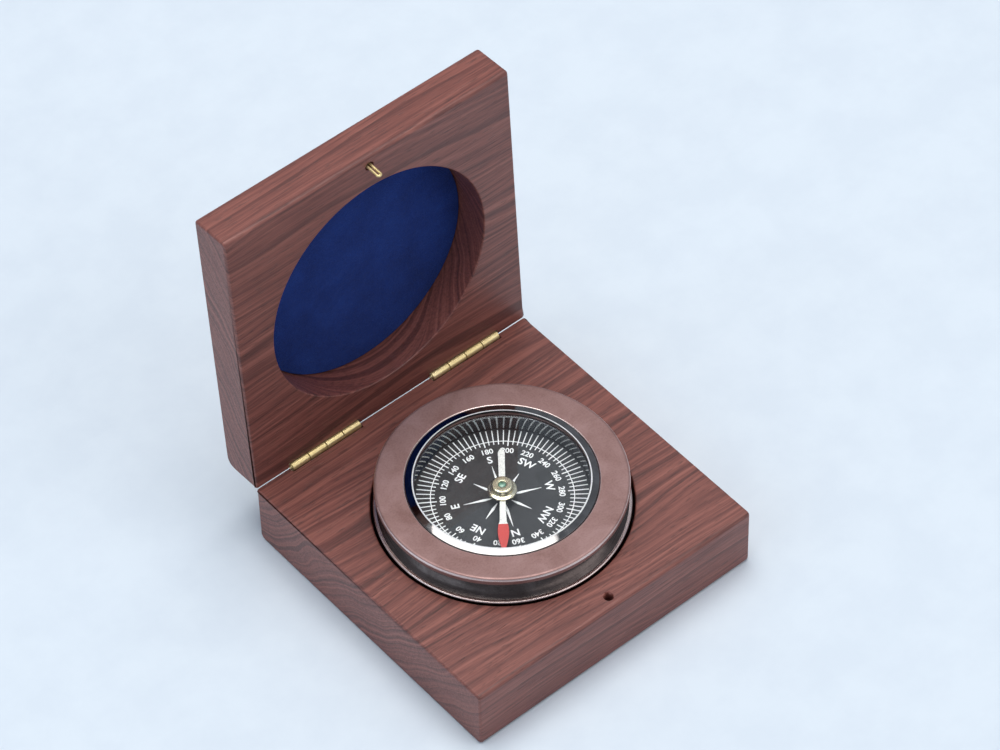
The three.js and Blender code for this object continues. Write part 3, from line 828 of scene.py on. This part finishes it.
def tick_marks():
    bm = bmesh.new()
    for bearing in range(0, 360, 4):
        long_tick = bearing % 20 == 0
        half = 0.18 if long_tick else 0.15
        inner = 18.9 if long_tick else 19.5
        for start, end in ((inner, CIRCLE_RADIUS - 0.15), (CIRCLE_RADIUS + 0.15, 24.9)):
            add_flat(bm, [(-half, start), (half, start), (half, end), (-half, end)], bearing_turn(bearing))
    return piece_from(bm, "dial_ticks_white", DIAL_WHITE)


def star_rays():
    """Eight thin rays: long ones to the four main bearings, shorter ones between them."""
    bm = bmesh.new()
    for bearing in range(0, 360, 45):
        tip = 11.6 if bearing % 90 == 0 else 9.6
        outline = [(-0.12, 3.0), (0.12, 3.0), (0.42, 5.4), (0.05, tip), (-0.05, tip), (-0.42, 5.4)]
        add_flat(bm, outline, bearing_turn(bearing))
    return piece_from(bm, "dial_star_white", DIAL_WHITE)


def lettering(name, words, radius, size):
    """Words set round the dial, each centred at the radius on its own bearing with its top outwards."""
    bm = bmesh.new()
    for bearing, word in words:
        curve = bpy.data.curves.new("word", "FONT")
        curve.body = word
        curve.size = size
        curve.align_x = "CENTER"
        curve.align_y = "CENTER"
        curve.extrude = PRINT_HEIGHT / 2
        curve.offset = 0.02 * size
        curve.resolution_u = 4
        text = bpy.data.objects.new("word", curve)
        bpy.context.scene.collection.objects.link(text)
        bpy.context.view_layer.update()
        evaluated = text.evaluated_get(bpy.context.evaluated_depsgraph_get())
        mesh = bpy.data.meshes.new_from_object(evaluated)
        mesh.transform(bearing_turn(bearing) @ Matrix.Translation((0, radius, DIAL_TOP + PRINT_HEIGHT / 2)))
        bm.from_mesh(mesh)
        bpy.data.objects.remove(text)
        bpy.data.meshes.remove(mesh)
    return piece_from(bm, name, DIAL_WHITE)


numbers = [(bearing, str(bearing or 360)) for bearing in range(0, 360, 20)]
letters = list(zip(range(0, 360, 45), ("N", "NE", "E", "SE", "S", "SW", "W", "NW")))
circle = [
    (CIRCLE_RADIUS - 0.13, DIAL_TOP),
    (CIRCLE_RADIUS + 0.13, DIAL_TOP),
    (CIRCLE_RADIUS + 0.13, DIAL_TOP + PRINT_HEIGHT),
    (CIRCLE_RADIUS - 0.13, DIAL_TOP + PRINT_HEIGHT),
]
for print_piece in (
    tick_marks(),
    star_rays(),
    lettering("dial_numbers_white", numbers, 17.1, 2.5),
    lettering("dial_letters_white", letters, 13.9, 3.4),
    turned("dial_circle_white", circle, DIAL_WHITE),
):
    place(print_piece, "compass")


# ---- Needle ----

needle_low, needle_high = (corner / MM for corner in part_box("needle_blade"))
cap_low, cap_high = (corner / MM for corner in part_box("needle_cap"))
NEEDLE_BOTTOM, NEEDLE_TOP = needle_low.z, needle_high.z
NORTH_LENGTH, SOUTH_LENGTH, RED_START = 21.5, 16.0, 12.4
NEEDLE_TURN = Matrix.Rotation(NEEDLE_NORTH - math.pi / 2, 4, "Z")


def needle_piece(name, half_outline, material, eye=False):
    """A flat strip, symmetrical about +Y, whose right edge is given from south to north."""
    right = rounded(half_outline, False, 4)
    left = [(-x, y) for x, y in reversed(right) if x > 1e-6]
    bm = bmesh.new()
    face = bm.faces.new([bm.verts.new((x, y, NEEDLE_BOTTOM)) for x, y in right + left])
    raised = bmesh.ops.extrude_face_region(bm, geom=[face])["geom"]
    verts = [v for v in raised if isinstance(v, bmesh.types.BMVert)]
    bmesh.ops.translate(bm, vec=(0, 0, NEEDLE_TOP - NEEDLE_BOTTOM), verts=verts)
    top = [e for e in bm.edges if all(v.co.z > NEEDLE_TOP - 1e-6 for v in e.verts)]
    bmesh.ops.bevel(bm, geom=top, offset=0.1, segments=2, profile=0.5, affect="EDGES")
    obj = piece_from(bm, name, material)
    if eye:
        height = NEEDLE_TOP - NEEDLE_BOTTOM
        boss_profile = [(0, 0), (2.9, 0), (2.9, height, 0.1), (0, height)]
        boss = turned("boss", boss_profile, material, SMALL_SIDES)
        boolean(obj, [moved(boss, 0, 0, NEEDLE_BOTTOM)], "UNION")
        hole = turned("cutter", [(0, -1), (2.1, -1), (2.1, 2), (0, 2)], material, SMALL_SIDES)
        boolean(obj, [moved(hole, 0, 0, NEEDLE_BOTTOM)], "DIFFERENCE")
    obj.data.transform(NEEDLE_TURN)
    return obj


blade_edge = [
    (0, -SOUTH_LENGTH),
    (1.0, -SOUTH_LENGTH + 1.6, 0.5),
    (0.85, 4),
    (1.0, RED_START - 1),
    (1.35, RED_START),
]
blade = needle_piece("needle_blade_white", [*blade_edge, (0, RED_START)], NEEDLE_WHITE, eye=True)
place(blade, "needle", ["needle_blade"])
tip_edge = [
    (0, RED_START + 0.01),
    (1.35, RED_START + 0.01),
    (1.7, RED_START + 2.2, 1.2),
    (1.45, RED_START + 5.5, 1.5),
    (0.55, NORTH_LENGTH, 0.5),
    (0, NORTH_LENGTH),
]
place(needle_piece("needle_tip_red", tip_edge, NEEDLE_RED), "needle")

flange = NEEDLE_TOP + 0.1
cap_top = cap_high.z
cap_profile = [
    (1.2, cap_low.z),
    (1.85, cap_low.z, 0.15),
    (1.85, flange),
    (4.3, flange, 0.1),
    (4.3, flange + 0.55, 0.25),
    (3.2, flange + 0.8, 0.2),
    (3.2, cap_top, 0.6),
    (1.2, cap_top, 0.2),
]
place(turned("needle_cap_brass", cap_profile, CAP_BRASS, 96), "needle", ["needle_cap"])

jewel_low, jewel_high = (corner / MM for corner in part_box("bearing_jewel"))
jewel_profile = [(0, jewel_low.z + 0.4), (1.05, jewel_low.z), (1.12, cap_top - 0.2, 0.3), (0, jewel_high.z)]
jewel = turned("bearing_jewel_green", jewel_profile, JEWEL, SMALL_SIDES, 8)
place(jewel, "needle", ["bearing_jewel"])

pin_low, pin_high = (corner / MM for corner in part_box("pivot_pin"))
pivot_profile = [
    (0, pin_low.z),
    (1.1, pin_low.z, 0.2),
    (1.1, DIAL_TOP + 0.1),
    (2.0, DIAL_TOP + 0.1),
    (2.0, DIAL_TOP + 0.7, 0.15),
    (0.6, DIAL_TOP + 1, 0.2),
    (0.6, pin_high.z - 1.2, 0.1),
    (0, pin_high.z),
]
place(turned("pivot_pin_steel", pivot_profile, STEEL, SMALL_SIDES), "compass", ["pivot_pin"])


# ---- Floor, light and camera ----


def floor():
    bm = bmesh.new()
    bmesh.ops.create_grid(bm, x_segments=1, y_segments=1, size=3000)
    pale, paler = (0.72, 0.79, 0.855), (0.75, 0.82, 0.88)
    material = painted("floor_paper", pale, paler, 0.75, 0.05, Specular_IOR_Level=0.2)
    obj = piece_from(bm, "floor", material)


def area_light(name, azimuth, elevation, distance, size, power, colour):
    """A soft square lamp that looks at the object from a direction: azimuth 0 is from -Y, 90 from +X."""
    light = bpy.data.lights.new(name, "AREA")
    light.size = size
    light.energy = power
    light.color = colour
    lamp = bpy.data.objects.new(name, light)
    a, e = math.radians(azimuth), math.radians(elevation)
    direction = Vector((math.sin(a) * math.cos(e), -math.cos(a) * math.cos(e), math.sin(e)))
    lamp.location = direction * distance + Vector((0, 0, 0.03))
    lamp.rotation_euler = direction.to_track_quat("Z", "Y").to_euler()
    bpy.context.scene.collection.objects.link(lamp)


floor()
area_light("overhead", 150, 82, 1.6, 1.0, 17, (1.0, 0.99, 0.97))
area_light("left_fill", -95, 30, 1.5, 1.2, 4, (0.70, 0.85, 1.0))
area_light("front_fill", 30, 40, 1.8, 1.4, 6, (1.0, 0.97, 0.95))

world = bpy.data.worlds.new("soft_sky")
world.use_nodes = True
world.node_tree.nodes["Background"].inputs["Color"].default_value = (0.78, 0.86, 1.0, 1)
world.node_tree.nodes["Background"].inputs["Strength"].default_value = 0.42
bpy.context.scene.world = world
bpy.context.scene.view_settings.view_transform = "Standard"


def make_camera():
    """A long lens that looks down at the open box from its front left."""
    azimuth, elevation, roll = (math.radians(d) for d in (-38.96, 48.9, -1.66))
    distance = 1299.0
    aim = Vector((0, 0, 20))
    aside, above = -0.79, 37.24
    flat = math.cos(elevation)
    back = Vector((math.sin(azimuth) * flat, -math.cos(azimuth) * flat, math.sin(elevation)))
    level = Vector((0, 0, 1)).cross(back).normalized()
    upright = back.cross(level)
    right = level * math.cos(roll) + upright * math.sin(roll)
    up = upright * math.cos(roll) - level * math.sin(roll)
    place_at = (aim + back * distance + right * aside + up * above) * MM
    data = bpy.data.cameras.new("camera")
    data.lens = 162.4
    data.sensor_width = 36
    data.clip_start = 0.05
    data.clip_end = 20
    camera = bpy.data.objects.new("camera", data)
    turn = Matrix((right, up, back)).transposed().to_4x4()
    camera.matrix_world = Matrix.Translation(place_at) @ turn
    bpy.context.scene.collection.objects.link(camera)
    bpy.context.scene.camera = camera


make_camera()
